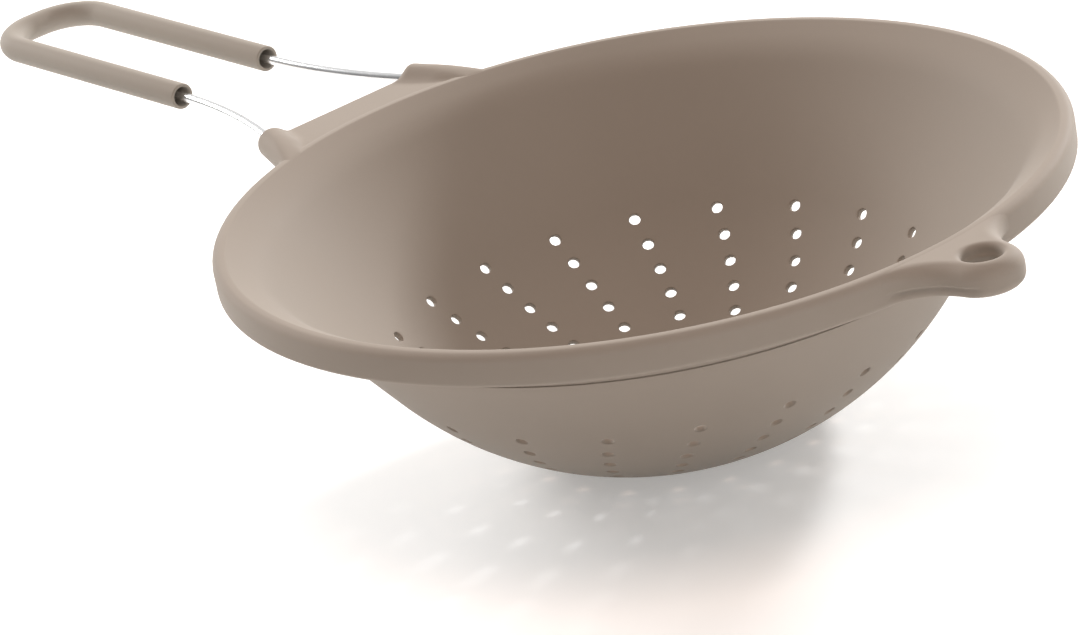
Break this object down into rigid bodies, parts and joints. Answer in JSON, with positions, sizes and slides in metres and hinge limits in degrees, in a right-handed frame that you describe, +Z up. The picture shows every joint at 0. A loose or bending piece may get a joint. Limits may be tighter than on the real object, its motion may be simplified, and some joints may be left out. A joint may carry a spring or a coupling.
{
  "type": "kitchen sieve",
  "caption": "Round silicone kitchen sieve with swirling drain holes, a hanging ear and a looped wire handle with a silicone grip.",
  "frame": {"origin": "centre of the bowl's flat base, on the table", "axes": "+Z up through the mouth, +X from the handle's side to the hanging ear, so the handle points along -X"},
  "size_m": [0.4356, 0.24, 0.0834],
  "materials": {
    "bowl_silicone": "matte silicone",
    "grip_silicone": "matte silicone",
    "handle_steel": "bright drawn wire",
    "hidden_steel": "dull drawn wire"
  },
  "bodies": {
    "root": {"bowl": "bowl_silicone", "rim_ring": "hidden_steel", "handle_wire": "handle_steel", "handle_welds": "hidden_steel", "grip_sleeve": "grip_silicone"}
  },
  "joints": []
}
